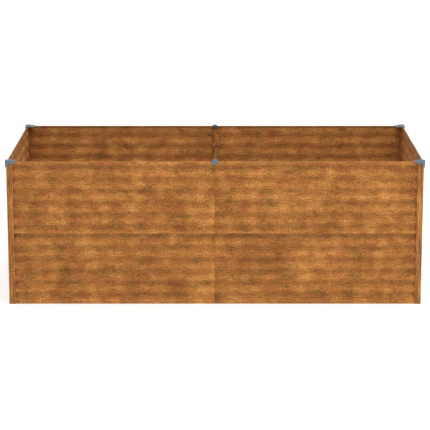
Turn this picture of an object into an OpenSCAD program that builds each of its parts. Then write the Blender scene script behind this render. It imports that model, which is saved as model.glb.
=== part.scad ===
// Raised planter box of weathering steel: corrugated panels in two tiers, bolted from the
// inside to slim corner posts, with plastic rim caps and two tie bars across the middle.
// Millimetres, +Z up, length along X, front at -Y, origin on the ground under the centre.

/* [Overall] */
// Length over the rim caps
overall_l = 2000; // [1400:10:2600]
// Width over the rim caps
overall_w = 1000; // [700:10:1400]
// Height from the ground to the top of the caps
overall_h = 709; // [560:1:900]

/* [Sheet panels] */
// Thickness of the corrugated sheet
sheet_t = 0.8; // [0.6:0.1:1.2]
// Height of one wave, aimed at; it stretches a little to fill the height
wave_pitch = 58; // [44:1:76]
// Depth of the wave, from crest to trough
wave_depth = 9; // [6:0.5:12]
// Distance from the rim down to the first trough
rim_to_trough = 35.6; // [30:0.1:44]
// Distance from the ground up to the last trough
foot_to_trough = 38.9; // [32:0.1:46]
// Distance between the two troughs on either side of the lap
lap_crest = 47.5; // [42:0.5:60]
// How far the lower tier reaches up behind the upper one
lap_h = 16; // [12:0.5:20]
// Width of the lip turned inwards at the rim
rim_lip = 6; // [4:0.5:8]
// Height of the hem that is folded down from the lip at the rim
rim_hem = 6; // [4:0.5:8]
// Width of the lip turned inwards at the ground
foot_lip = 10; // [6:0.5:14]
// Gap between the panels that meet at the middle of a long wall
seam_gap = 1; // [0.5:0.1:2]

/* [Corner posts] */
// Width of each flange of a post
post_leg = 30; // [27:1:40]
// Thickness of the post
post_t = 1.5; // [1:0.1:2.5]
// Outside radius of the fold
post_fold_r = 3; // [2:0.5:5]
// Distance from the corner to the pressed groove
groove_at = 12.5; // [10:0.5:14]
// Width of the pressed groove
groove_w = 3; // [2:0.5:4]
// Depth of the pressed groove
groove_depth = 0.8; // [0.4:0.1:1.2]

/* [Middle strips] */
// Depth of the strip
strip_depth = 9.5; // [8.5:0.5:14]
// Thickness of the strip
strip_t = 1.5; // [1:0.1:2]

/* [Tie bars] */
// Depth of the upper tie bar below the rim
tie_upper_drop = 100; // [80:1:120]
// Depth of the lower tie bar below the rim
tie_lower_drop = 440; // [420:1:470]
// Width of the flat leg
tie_flat = 12; // [9:0.5:14]
// Height of the upright leg and of the end tabs
tie_upright = 20; // [16:1:24]
// Width of the end tabs
tie_tab_w = 28; // [26:1:32]
// Thickness of the tie bar
tie_t = 1.5; // [1:0.1:2]

/* [Caps] */
// How far the caps stand out from the posts
cap_proud = 4.5; // [3.5:0.1:6]
// How far the caps rise above the rim
cap_rise = 7; // [5:0.5:9]
// Length of a corner cap's arms from its own corner
cap_arm = 49; // [42:1:60]
// Depth of a corner cap's arms below the rim
cap_skirt = 13; // [10:1:16]
// Depth of a corner cap's lobe below the rim
cap_lobe_drop = 27; // [20:1:32]
// Width of a corner cap's lobe
cap_lobe_w = 13; // [10:0.5:16]
// Wall on the inner side of the caps
cap_wall = 2.2; // [1.5:0.1:3]
// Width of a middle cap
mid_cap_w = 32; // [28:1:36]
// Depth of a middle cap below the rim
mid_cap_drop = 18; // [14:1:20]
// Corner radius of the moulded caps
cap_r = 3; // [1:0.5:4]

/* [Fasteners] */
// Diameter of the weld studs
stud_d = 5; // [4:1:6]
// Diameter of the tie bolts
tie_bolt_d = 6; // [5:1:6]
// Height of the tie bolts' heads
tie_head_h = 4; // [3:0.5:5]
// Thickness of the washers
washer_t = 1; // [0.8:0.1:1.2]
// Length of thread that shows past a nut
thread_tail = 1.5; // [1:0.5:2]
// Distance from the edge of a flange, and from the end of a panel, to the line of its studs
stud_edge = 6; // [4.5:0.5:7]

/* [Clearances] */
// Between faces that are clamped together
seat_gap = 0.1; // [0.05:0.05:0.2]
// Between the lapped sheets
lap_gap = 0.2; // [0.1:0.05:0.3]
// Between the plastic caps and the steel
cap_gap = 0.3; // [0.2:0.1:0.5]
// Added to a bolt's diameter for its hole
hole_gap = 0.5; // [0.3:0.1:0.8]
// Around the corners of the nuts on and in the middle strips
nut_room = 0.4; // [0.3:0.1:1]

/* [Hidden] */

steel_colour = "sienna";
cap_colour = "slategray";
fastener_colour = "saddlebrown";

// Body inside the caps; every wall is drawn as u inwards from the posts' outer face.
body_l = overall_l - 2 * cap_proud;
body_w = overall_w - 2 * cap_proud;
rim_h = overall_h - cap_rise;

// Waves: depths below the rim of the troughs, crests and laps.
wave_room = (rim_h - rim_to_trough - foot_to_trough - lap_crest) / 2;
wave_steps = max(2, round(wave_room / wave_pitch));
pitch = wave_room / wave_steps;
upper_last = rim_to_trough + wave_room;
lower_first = upper_last + lap_crest;
tier_first = [rim_to_trough, lower_first];
upper_end = upper_last + lap_crest / 2 + 2;
lip_top = upper_end - lap_h;
wave_points = 12;
wave_step = pitch / wave_points;

// Places of the sheet through the wall.
crest_u = post_t + seat_gap + sheet_t / 2;
crest_face_u = crest_u + sheet_t / 2;
trough_face_u = crest_face_u + wave_depth;
lap_slope = atan(wave_depth * 180 * (PI / 180) / lap_crest);
nest_shift = (sheet_t + lap_gap) / cos(lap_slope);

// Panels along their walls: their ends lap the flanges of the posts.
stud_inset = post_leg - stud_edge;
panel_inset = stud_inset - stud_edge;
long_end = body_l / 2 - panel_inset;
side_end = body_w / 2 - panel_inset;

// Fasteners: standard proportions of hexagon nuts and washers.
stud_hole = stud_d + hole_gap;
nut_flats = 1.6 * stud_d;
nut_h = 0.8 * stud_d;
washer_d = 2 * stud_d;
tie_hole = tie_bolt_d + hole_gap;
tie_nut_h = 0.8 * tie_bolt_d;
tie_nut_flats = 1.6 * tie_bolt_d;
tie_washer_d = 2 * tie_bolt_d;
hex_round = 2 / sqrt(3);

// A flat washer bridges the hollow of a crest, so it sits this far above the bottom of it,
// clear of the flats that the wave is drawn with.
flat_lift = wave_depth / 2 * (1 - cos(180 / wave_points));
washer_lift = wave_depth / 2 * (1 - cos(180 * washer_d / pitch)) + flat_lift + seat_gap;
post_washer_u = crest_face_u + washer_lift;
post_nut_u = post_washer_u + washer_t;
post_stud_end = post_nut_u + nut_h + thread_tail;

// Middle strip and what is bolted to it.
strip_u = trough_face_u + seat_gap;
strip_flange = nut_flats * hex_round + 2 * nut_room;
strip_web = tie_nut_flats * hex_round + 2 * (nut_room + strip_t);
strip_w = strip_web + 2 * strip_flange;
seam_stud_x = (strip_w - strip_flange) / 2;
seam_washer_u = strip_u + strip_t;
seam_nut_u = seam_washer_u + washer_t;
seam_stud_end = seam_nut_u + nut_h + thread_tail;
web_u = strip_u + strip_depth;
strip_foot = sheet_t + seat_gap;
strip_top = rim_h - 2;
tab_u = web_u + seat_gap;
tie_head_u = tab_u + tie_t + washer_t;
tie_bolt_tip = web_u - strip_t - tie_nut_h - 1;
tie_x = tie_tab_w / 2;
tie_drops = [tie_upper_drop, tie_lower_drop];

// Rows of fasteners: every second wave of each tier, on crests at the posts, in troughs
// at the seam.
rows = [for (first = tier_first) for (k = [0 : 2 : wave_steps - 1]) first + k * pitch];
post_rows = [for (row = rows) row + pitch / 2];
seam_rows = rows;

function phase(s) =
  s <= upper_last ? 180 + 360 * (s - upper_last) / pitch
  : s <= lower_first ? 180 + 360 * (s - upper_last) / lap_crest
  : 540 + 360 * (s - lower_first) / pitch;

function wave_u(s) = crest_u + wave_depth / 2 * (1 - cos(phase(s)));

// How far the lower tier stands in to nest behind the upper one: all the way in the lap,
// then easing out to nothing at its first trough.
function ease(x) = x * x * (3 - 2 * x);
function nest_u(s) =
  s <= upper_end + 1 ? nest_shift
  : s >= lower_first ? 0
  : nest_shift * (1 - ease((s - upper_end - 1) / (lower_first - upper_end - 1)));

// Outline of a strip of sheet that follows a centre line, with mitred corners.
function turn(v) = [-v[1], v[0]] / norm(v);
function side_of(path, i) =
  let (last = len(path) - 1)
  let (a = turn(path[max(i, 1)] - path[max(i, 1) - 1]))
  let (b = turn(path[min(i, last - 1) + 1] - path[min(i, last - 1)]))
  let (m = a + b)
  m / (m * m) * 2;
function ribbon(path, t) = concat(
  [for (i = [0 : len(path) - 1]) path[i] + side_of(path, i) * t / 2],
  [for (i = [len(path) - 1 : -1 : 0]) path[i] - side_of(path, i) * t / 2]
);

upper_path = concat(
  [[wave_u(0) + rim_lip, rim_h - rim_hem], [wave_u(0) + rim_lip, rim_h - sheet_t / 2]],
  [[wave_u(0), rim_h - sheet_t / 2]],
  [for (s = [wave_step : wave_step : upper_end - wave_step / 2]) [wave_u(s), rim_h - s]],
  [[wave_u(upper_end), rim_h - upper_end]]
);

lower_path = concat(
  [[wave_u(lip_top) + nest_shift, rim_h - lip_top]],
  [for (s = [lip_top + wave_step : wave_step : rim_h - wave_step / 2])
    [wave_u(s) + nest_u(s), rim_h - s]],
  [[wave_u(rim_h), sheet_t / 2], [wave_u(rim_h) + foot_lip, sheet_t / 2]]
);

// A wall's own frame: x along it, u inwards from the posts' outer face, z up.
module front_wall() {
  translate([0, -body_w / 2, 0]) children();
}
module back_wall() {
  translate([0, body_w / 2, 0]) rotate([0, 0, 180]) children();
}
module left_wall() {
  translate([-body_l / 2, 0, 0]) rotate([0, 0, -90]) children();
}
module right_wall() {
  translate([body_l / 2, 0, 0]) rotate([0, 0, 90]) children();
}

module along_wall(x0, x1) {
  translate([x0, 0, 0]) rotate([90, 0, 90]) linear_extrude(x1 - x0) children();
}

// A round bar that points inwards through the wall at depth s below the rim.
module pin(x, s, d, u0, u1) {
  translate([x, u0, rim_h - s]) rotate([-90, 0, 0]) cylinder(d = d, h = u1 - u0, $fn = 48);
}

// Sheet panel from x0 to x1, drilled on its crests at each place in holes_x.
module panel(path, x0, x1, holes_x, rows_s) {
  color(steel_colour) difference() {
    along_wall(x0, x1) polygon(ribbon(path, sheet_t));
    for (x = holes_x, s = rows_s) pin(x, s, stud_hole, 0, trough_face_u);
  }
}

half_rows = len(post_rows) / 2;
upper_rows = [for (i = [0 : half_rows - 1]) post_rows[i]];
lower_rows = [for (i = [half_rows : 2 * half_rows - 1]) post_rows[i]];
long_stud_x = body_l / 2 - stud_inset;
side_stud_x = body_w / 2 - stud_inset;

// The half of a long wall at its own right-hand end, and the one at its left-hand end.
module right_half(path, rows_s) {
  panel(path, seam_gap / 2, long_end, [long_stud_x], rows_s);
}
module left_half(path, rows_s) {
  panel(path, -long_end, -seam_gap / 2, [-long_stud_x], rows_s);
}
module side_panel(path, rows_s) {
  panel(path, -side_end, side_end, [-side_stud_x, side_stud_x], rows_s);
}

// Post outline: along the outside of one flange, round the fold, along the other flange,
// and back along the inside.
function groove(off) = [
  [groove_at + groove_w / 2, off], [groove_at, off + groove_depth], [groove_at - groove_w / 2, off]
];
function swapped(pts) = [for (i = [len(pts) - 1 : -1 : 0]) [pts[i][1], pts[i][0]]];
function fold(r) = [for (a = [0 : 15 : 90]) [post_fold_r - r * sin(a), post_fold_r - r * cos(a)]];
function flange_line(off) = concat([[post_leg, off]], groove(off));
post_outline = concat(
  flange_line(0), fold(post_fold_r), swapped(flange_line(0)),
  [for (p = [0 : 3]) [flange_line(post_t)[p][1], flange_line(post_t)[p][0]]],
  [for (p = [6 : -1 : 0]) fold(post_fold_r - post_t)[p]],
  [for (p = [3 : -1 : 0]) flange_line(post_t)[p]]
);

// Corner frame: the outside corner at the origin, both walls running to +x and +y.
module at_corner(sx, sy) {
  translate([sx * body_l / 2, sy * body_w / 2, 0])
    rotate([0, 0, sx < 0 ? (sy < 0 ? 0 : -90) : (sy < 0 ? 90 : 180)]) children();
}

module post(sx, sy) {
  color(steel_colour) at_corner(sx, sy) linear_extrude(rim_h) polygon(post_outline);
}

// The studs, washers and nuts of one corner: one row in each flange.
module both_flanges() {
  children();
  mirror([1, -1, 0]) children();
}
module corner_pins(d, u0, u1) {
  both_flanges() for (s = post_rows) pin(stud_inset, s, d, u0, u1);
}
module all_corners() {
  for (sx = [-1, 1], sy = [-1, 1]) at_corner(sx, sy) children();
}

module post_studs() {
  color(fastener_colour) all_corners() corner_pins(stud_d, post_t, post_stud_end);
}
module post_washers() {
  color(fastener_colour) all_corners() both_flanges() for (s = post_rows) difference() {
    pin(stud_inset, s, washer_d, post_washer_u, post_washer_u + washer_t);
    pin(stud_inset, s, stud_hole, post_washer_u - 1, post_washer_u + washer_t + 1);
  }
}

// Hexagon nut with its bore a little wider than the thread that it holds.
module nut(x, s, d, flats, u0, h) {
  difference() {
    translate([x, u0, rim_h - s]) rotate([-90, 0, 0]) cylinder(d = flats * hex_round, h = h, $fn = 6);
    pin(x, s, d + 2 * seat_gap, u0 - 1, u0 + h + 1);
  }
}
module post_nuts() {
  color(fastener_colour) all_corners() both_flanges() for (s = post_rows)
    nut(stud_inset, s, stud_d, nut_flats, post_nut_u, nut_h);
}

module both_long_walls() {
  front_wall() children();
  back_wall() children();
}
module seam_studs() {
  color(fastener_colour) both_long_walls() for (x = [-seam_stud_x, seam_stud_x], s = seam_rows)
    pin(x, s, stud_d, trough_face_u + seat_gap / 4, seam_stud_end);
}
module seam_washers() {
  color(fastener_colour) both_long_walls() for (x = [-seam_stud_x, seam_stud_x], s = seam_rows)
    difference() {
      pin(x, s, nut_flats, seam_washer_u, seam_washer_u + washer_t);
      pin(x, s, stud_hole, seam_washer_u - 1, seam_washer_u + washer_t + 1);
    }
}
module seam_nuts() {
  color(fastener_colour) both_long_walls() for (x = [-seam_stud_x, seam_stud_x], s = seam_rows)
    nut(x, s, stud_d, nut_flats, seam_nut_u, nut_h);
}

// Hat-shaped strip: flanges on the troughs of both panels, web standing inwards.
module strip_outline() {
  difference() {
    union() {
      translate([-strip_w / 2, 0]) square([strip_w, strip_t]);
      translate([-strip_w / 2 + strip_flange, 0]) square([strip_web, strip_depth]);
    }
    translate([-strip_w / 2 + strip_flange + strip_t, -1])
      square([strip_web - 2 * strip_t, strip_depth - strip_t + 1]);
  }
}
module middle_strip() {
  color(steel_colour) difference() {
    translate([0, strip_u, strip_foot]) linear_extrude(strip_top - strip_foot) strip_outline();
    for (x = [-seam_stud_x, seam_stud_x], s = seam_rows)
      pin(x, s, stud_hole, strip_u - 1, strip_u + strip_t + 1);
    for (drop = tie_drops) pin(0, drop, tie_hole, strip_u, web_u + 1);
  }
}

// Angle bar: flat leg level at the left, upright leg at the right, whose ends fold over
// into tabs against the strips.
module tie_bar(drop) {
  tie_half = body_w / 2 - tab_u;
  tab_z = rim_h - drop - tie_upright / 2;
  color(steel_colour) difference() {
    union() {
      translate([tie_x - tie_t, -tie_half, tab_z]) cube([tie_t, 2 * tie_half, tie_upright]);
      translate([tie_x - tie_flat, -tie_half + tie_t + 2, tab_z])
        cube([tie_flat, 2 * (tie_half - tie_t - 2), tie_t]);
      for (y = [-tie_half, tie_half - tie_t])
        translate([-tie_x, y, tab_z]) cube([tie_tab_w, tie_t, tie_upright]);
    }
    both_tie_ends() pin(0, drop, tie_hole, tab_u - 1, tab_u + tie_t + 1);
  }
}
// The same x at both ends of a tie bar, whichever way its wall faces.
module both_tie_ends() {
  front_wall() children();
  mirror([0, 1, 0]) front_wall() children();
}
module tie_bolts() {
  color(fastener_colour) both_tie_ends() for (drop = tie_drops) {
    pin(0, drop, tie_bolt_d, tie_bolt_tip, tie_head_u + 1);
    translate([0, tie_head_u, rim_h - drop]) rotate([-90, 0, 0])
      cylinder(d = tie_nut_flats * hex_round, h = tie_head_h, $fn = 6);
  }
}
module tie_washers() {
  color(fastener_colour) both_tie_ends() for (drop = tie_drops) difference() {
    pin(0, drop, tie_washer_d, tab_u + tie_t, tie_head_u);
    pin(0, drop, tie_hole, tab_u, tie_head_u + 1);
  }
}
module tie_weld_nuts() {
  color(fastener_colour) both_tie_ends() for (drop = tie_drops)
    nut(0, drop, tie_bolt_d, tie_nut_flats, web_u - strip_t - tie_nut_h, tie_nut_h);
}

// Corner cap, in the corner frame, z from the rim.
cap_inside = trough_face_u + 2 * cap_gap;
cap_end = cap_arm - cap_proud;
module rounded(r) {
  offset(r) offset(-r) children();
}
module cap_side_view() {
  rounded(cap_r) union() {
    polygon([
      [-cap_proud, -cap_skirt], [cap_end * 0.72, -cap_skirt], [cap_end, -cap_skirt / 3],
      [cap_end, cap_rise / 2], [cap_end * 0.8, cap_rise], [-cap_proud, cap_rise]
    ]);
    translate([-cap_proud, -cap_lobe_drop]) square([cap_lobe_w, cap_lobe_drop + cap_rise]);
  }
}
module cap_arm_block() {
  translate([0, cap_inside + cap_wall, 0]) rotate([90, 0, 0])
    linear_extrude(cap_inside + cap_wall + cap_proud) cap_side_view();
}
module cap_lobe_block() {
  translate([-cap_proud, -cap_proud, -cap_lobe_drop - 1])
    cube([cap_lobe_w, cap_lobe_w, cap_lobe_drop - cap_skirt + 2]);
}
module cap_plan() {
  rounded(1) union() {
    translate([-cap_proud, -cap_proud]) square([cap_arm, cap_inside + cap_wall + cap_proud]);
    translate([-cap_proud, -cap_proud]) square([cap_inside + cap_wall + cap_proud, cap_arm]);
  }
}
module corner_cap(sx, sy) {
  color(cap_colour) at_corner(sx, sy) translate([0, 0, rim_h]) difference() {
    intersection() {
      both_flanges() cap_arm_block();
      translate([0, 0, -cap_lobe_drop]) linear_extrude(cap_lobe_drop + cap_rise) cap_plan();
      union() {
        cap_lobe_block();
        translate([-cap_proud, -cap_proud, -cap_skirt])
          cube([cap_arm, cap_arm, cap_skirt + cap_rise]);
      }
    }
    translate([0, 0, -cap_lobe_drop - 1]) linear_extrude(cap_lobe_drop + 1 + cap_gap) union() {
      translate([-cap_gap, -cap_gap]) square([2 * cap_arm, cap_inside + cap_gap]);
      translate([-cap_gap, -cap_gap]) square([cap_inside + cap_gap, 2 * cap_arm]);
    }
  }
}

// Middle cap: a saddle over the rim and the head of the strip, with a domed front.
mid_inside = web_u + cap_gap;
mid_outside = crest_u - sheet_t / 2 - cap_gap;
module mid_cap_front() {
  dome_r = mid_cap_w / 2;
  foot_x = dome_r - cap_r;
  intersection() {
    translate([-dome_r, -mid_cap_drop]) square([mid_cap_w, mid_cap_drop + cap_rise]);
    union() {
      translate([0, cap_rise - dome_r]) circle(d = mid_cap_w, $fn = 64);
      translate([-dome_r, cap_r - mid_cap_drop])
        square([mid_cap_w, mid_cap_drop - cap_r + cap_rise - dome_r]);
      translate([-foot_x, -mid_cap_drop]) square([2 * foot_x, cap_r + 1]);
      for (x = [-foot_x, foot_x]) translate([x, cap_r - mid_cap_drop]) circle(cap_r, $fn = 32);
    }
  }
}
module middle_cap() {
  color(cap_colour) translate([0, 0, rim_h]) difference() {
    translate([0, mid_inside + cap_wall, 0]) rotate([90, 0, 0])
      linear_extrude(mid_inside + cap_wall + cap_proud) mid_cap_front();
    translate([-mid_cap_w, mid_outside, -2 * mid_cap_drop])
      cube([2 * mid_cap_w, mid_inside - mid_outside, 2 * mid_cap_drop + cap_gap]);
  }
}

post(-1, -1);  // post_front_left
post(1, -1);  // post_front_right
post(-1, 1);  // post_back_left
post(1, 1);  // post_back_right
front_wall() left_half(upper_path, upper_rows);  // panel_front_left_upper
front_wall() left_half(lower_path, lower_rows);  // panel_front_left_lower
front_wall() right_half(upper_path, upper_rows);  // panel_front_right_upper
front_wall() right_half(lower_path, lower_rows);  // panel_front_right_lower
back_wall() right_half(upper_path, upper_rows);  // panel_back_left_upper
back_wall() right_half(lower_path, lower_rows);  // panel_back_left_lower
back_wall() left_half(upper_path, upper_rows);  // panel_back_right_upper
back_wall() left_half(lower_path, lower_rows);  // panel_back_right_lower
left_wall() side_panel(upper_path, upper_rows);  // panel_side_left_upper
left_wall() side_panel(lower_path, lower_rows);  // panel_side_left_lower
right_wall() side_panel(upper_path, upper_rows);  // panel_side_right_upper
right_wall() side_panel(lower_path, lower_rows);  // panel_side_right_lower
front_wall() middle_strip();  // middle_strip_front
mirror([0, 1, 0]) front_wall() middle_strip();  // middle_strip_back
tie_bar(tie_upper_drop);  // tie_bar_upper
tie_bar(tie_lower_drop);  // tie_bar_lower
corner_cap(-1, -1);  // cap_front_left
corner_cap(1, -1);  // cap_front_right
corner_cap(-1, 1);  // cap_back_left
corner_cap(1, 1);  // cap_back_right
front_wall() middle_cap();  // cap_middle_front
back_wall() middle_cap();  // cap_middle_back
post_studs();
post_washers();
post_nuts();
seam_studs();
seam_washers();
seam_nuts();
tie_bolts();
tie_washers();
tie_weld_nuts();
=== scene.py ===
from math import atan, cos, pi, radians, sqrt, tan

import bpy
from mathutils import Matrix, Vector


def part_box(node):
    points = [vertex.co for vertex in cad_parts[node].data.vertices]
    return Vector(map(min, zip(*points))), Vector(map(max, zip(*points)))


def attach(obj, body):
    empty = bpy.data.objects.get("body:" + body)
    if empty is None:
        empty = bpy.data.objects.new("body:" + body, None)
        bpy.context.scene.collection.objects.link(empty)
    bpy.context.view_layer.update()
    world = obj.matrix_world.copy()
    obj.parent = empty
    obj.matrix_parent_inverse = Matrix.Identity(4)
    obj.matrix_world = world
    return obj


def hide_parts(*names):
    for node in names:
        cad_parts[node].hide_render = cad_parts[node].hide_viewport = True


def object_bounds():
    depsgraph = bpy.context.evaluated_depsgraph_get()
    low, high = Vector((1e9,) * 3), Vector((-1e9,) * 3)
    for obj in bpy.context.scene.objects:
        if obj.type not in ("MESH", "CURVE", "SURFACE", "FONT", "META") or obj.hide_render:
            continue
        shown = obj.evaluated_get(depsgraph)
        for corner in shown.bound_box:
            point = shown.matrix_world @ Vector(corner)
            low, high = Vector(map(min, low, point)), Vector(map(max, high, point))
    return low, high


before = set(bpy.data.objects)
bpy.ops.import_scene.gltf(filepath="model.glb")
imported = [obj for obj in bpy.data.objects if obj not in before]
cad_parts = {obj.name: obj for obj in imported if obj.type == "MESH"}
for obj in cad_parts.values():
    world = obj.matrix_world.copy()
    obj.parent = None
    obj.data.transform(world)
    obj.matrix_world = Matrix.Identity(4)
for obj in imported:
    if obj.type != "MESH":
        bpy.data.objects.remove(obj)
cad_low, cad_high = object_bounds()


# ---------------------------------------------------------------------------------------
# Long-wall panels
# Roll-formed corrugated weathering steel, 0.8 mm thick, two panels to a tier and two tiers
# to a wall. The rim is folded inwards and down to a blunt hem, the foot is folded inwards
# to stand on, and the lower tier's top edge nests behind the foot of the upper one.

MM = 0.001
sheet_t = 0.8 * MM
wave_depth = 9 * MM
rim_lip = 6 * MM
rim_hem = 6 * MM
rim_to_trough = 35.6 * MM
foot_to_trough = 38.9 * MM
lap_crest = 47.5 * MM
lap_h = 16 * MM
lap_gap = 0.2 * MM
waves = 6
rows_per_wave = 16
weld = 0.01 * MM
near = 0.1 * MM

panel_low, panel_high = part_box("panel_front_left_upper")
foot_low, foot_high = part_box("panel_front_left_lower")
rim_z = panel_high.z
ground_z = foot_low.z
wall_h = rim_z - ground_z
crest_y = panel_low.y + sheet_t / 2
tier_waves = (wall_h - rim_to_trough - foot_to_trough - lap_crest) / 2
pitch = tier_waves / (waves - 1)
row_h = pitch / rows_per_wave
upper_last = rim_to_trough + tier_waves
lower_first = upper_last + lap_crest
upper_end = rim_z - panel_low.z
lip_top = upper_end - lap_h
lap_slope = atan(wave_depth * pi / lap_crest)
nest_shift = (sheet_t + lap_gap) / cos(lap_slope)


def wave_in(drop):
    """How far in from its crests the sheet stands, this far below the rim. Both tiers have
    a trough next to the lap, and one longer wave runs between the two."""
    if drop <= upper_last:
        waves_on = (drop - upper_last) / pitch
    elif drop <= lower_first:
        waves_on = (drop - upper_last) / lap_crest
    else:
        waves_on = (drop - lower_first) / pitch
    return wave_depth / 2 * (1 + cos(2 * pi * waves_on))


def nest_in(drop):
    """How much further in the lower tier stands: a whole sheet behind the end of the upper
    tier, easing to nothing at its own first trough."""
    nest_end = upper_end + MM
    eased = min(max((drop - nest_end) / (lower_first - nest_end), 0), 1)
    return nest_shift * (1 - eased * eased * (3 - 2 * eased))


def put_down():
    """Leaves edit mode and deselects everything."""
    if bpy.context.mode != "OBJECT":
        bpy.ops.object.mode_set(mode="OBJECT")
    bpy.ops.object.select_all(action="DESELECT")


def start_edit(piece, mode):
    """Opens one object in edit mode with nothing selected, to pick faces or edges in it."""
    put_down()
    piece.select_set(True)
    bpy.context.view_layer.objects.active = piece
    bpy.ops.object.mode_set(mode="EDIT")
    bpy.ops.mesh.select_mode(type=mode)
    bpy.ops.mesh.select_all(action="DESELECT")


def pick(piece, mode, wanted):
    """Selects the vertices, edges or faces for which wanted(corner points) is true."""
    start_edit(piece, mode)
    bpy.ops.object.mode_set(mode="OBJECT")
    mesh = piece.data
    for v in mesh.vertices:
        v.select = mode == "VERT" and wanted([v.co])
    for e in mesh.edges:
        e.select = mode == "EDGE" and wanted([mesh.vertices[i].co for i in e.vertices])
    for f in mesh.polygons:
        f.select = mode == "FACE" and wanted([mesh.vertices[i].co for i in f.vertices])
    bpy.ops.object.mode_set(mode="EDIT")


def new_plane(centre, size, turned=(0, 0, 0)):
    """A flat rectangle with its place, size and turn put into its mesh."""
    put_down()
    bpy.ops.mesh.primitive_plane_add(size=1, location=centre, rotation=turned)
    piece = bpy.context.object
    piece.scale = (size[0], size[1], 1)
    bpy.ops.object.transform_apply(location=True, rotation=True, scale=True)
    return piece


def extrude(step):
    """Extrudes what is selected by one step. What it makes is then selected."""
    bpy.ops.mesh.extrude_region_move(TRANSFORM_OT_translate={"value": step})


def apply_modifier(piece, kind, **settings):
    """Adds a modifier with its settings and applies it to the mesh."""
    put_down()
    piece.select_set(True)
    bpy.context.view_layer.objects.active = piece
    modifier = piece.modifiers.new(kind.lower(), kind)
    for key, value in settings.items():
        setattr(modifier, key, value)
    bpy.ops.object.modifier_apply(modifier=modifier.name)


def finish_mesh(piece, smooth_under=35):
    """Merges doubles, turns faces outwards, lays UVs in metres and smooths the bends."""
    start_edit(piece, "VERT")
    bpy.ops.mesh.select_all(action="SELECT")
    bpy.ops.mesh.remove_doubles(threshold=weld)
    bpy.ops.mesh.normals_make_consistent(inside=False)
    bpy.ops.uv.cube_project(cube_size=1, correct_aspect=False)
    bpy.ops.object.mode_set(mode="OBJECT")
    bpy.ops.object.shade_smooth_by_angle(angle=radians(smooth_under))


def shift_uv(piece, along, down):
    """Moves a piece's UVs, so that its rust doesn't carry on from its neighbour's."""
    for corner in piece.data.uv_layers.active.data:
        corner.uv += Vector((along, down))


def copy_piece(piece, place):
    """A copy with its own mesh, carried to its place."""
    twin = piece.copy()
    twin.data = piece.data.copy()
    twin.data.transform(place)
    bpy.context.scene.collection.objects.link(twin)
    return twin


def hand_over(piece, name, slot, material, *nodes):
    """Names a finished piece, gives it its material and ties it to the frame."""
    piece.name = name
    piece.data.name = name
    piece.data.materials.clear()
    piece.data.materials.append(material)
    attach(piece, "root")
    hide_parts(*nodes)


def rows_from(start, end):
    """Depths one row apart from start towards end, then end, with no short last row."""
    way = 1 if end > start else -1
    rows = int((abs(end - start) - row_h / 2) / row_h)
    return [start + way * i * row_h for i in range(rows + 1)] + [end]


def roll_sheet(depths, drift):
    """Draws the selected edge from depth to depth below the rim, along the wave and what
    drift adds to it."""
    for before, after in zip(depths, depths[1:]):
        inward = wave_in(after) + drift(after) - wave_in(before) - drift(before)
        extrude((0, inward, before - after))


def upper_sheet(left, right):
    """The upper tier between two ends: the rim and its hem, then the wave to the lap."""
    half_t = sheet_t / 2
    rim_y = crest_y + wave_in(0)
    lip_y = rim_y + rim_lip
    piece = new_plane(((left + right) / 2, (rim_y + lip_y) / 2, rim_z - half_t),
                      (right - left, lip_y - rim_y))
    pick(piece, "EDGE", lambda points: all(p.y > lip_y - MM for p in points))
    extrude((0, 0, half_t - rim_hem))
    pick(piece, "EDGE", lambda points: all(p.y < rim_y + MM for p in points))
    depths = rows_from(0, upper_end)
    extrude((0, wave_in(depths[1]) - wave_in(0), half_t - depths[1]))
    roll_sheet(depths[1:], lambda drop: 0)
    return piece


def lower_sheet(left, right):
    """The lower tier, from its foot up to the edge that nests behind the upper tier."""
    half_t = sheet_t / 2
    foot_y = crest_y + wave_in(wall_h)
    lip_y = foot_high.y
    piece = new_plane(((left + right) / 2, (foot_y + lip_y) / 2, ground_z + half_t),
                      (right - left, lip_y - foot_y))
    pick(piece, "EDGE", lambda points: all(p.y < foot_y + MM for p in points))
    depths = rows_from(wall_h, lip_top)
    first = depths[1]
    inward = wave_in(first) + nest_in(first) - wave_in(wall_h)
    extrude((0, inward, wall_h - first - half_t))
    roll_sheet(depths[1:], nest_in)
    return piece


def thicken_sheet(piece):
    """Gives the rolled surface its thickness, half to each side."""
    apply_modifier(piece, "SOLIDIFY", thickness=sheet_t, offset=0, use_even_offset=True)
    finish_mesh(piece, smooth_under=40)


# Weathering, painted shade and painted highlights, in shares of how much darker a trough
# is than a crest. Below 0 is lighter.
# Painted shade on the faces of the waves that turn downwards.
painted_underside_shade = 0.8
steepest_normal = 0.45
# Painted shade in a band along the first trough under the rim.
under_rim_shade = 1.5
under_rim_shade_above = 17 * MM
under_rim_shade_below = 3 * MM
# Painted shadow on the lower tier under the lap.
under_lap_shadow = 1.8
# Painted highlights along the rim, the lower edge of the upper tier and the foot.
highlight_h = 9 * MM
rim_highlight = -0.1
edge_highlight = -0.57
# Painted shadow on the sheet beside each post.
post_shadow_dark = 0.64
post_shadow_full = 4 * MM
post_shadow_end = 14 * MM
end_to_end = 0.3
# The inside faces are painted lighter, as painted light on the shaded inside.
inside_painted_lighter = 0.2
hem_scale = 0.9


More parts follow.
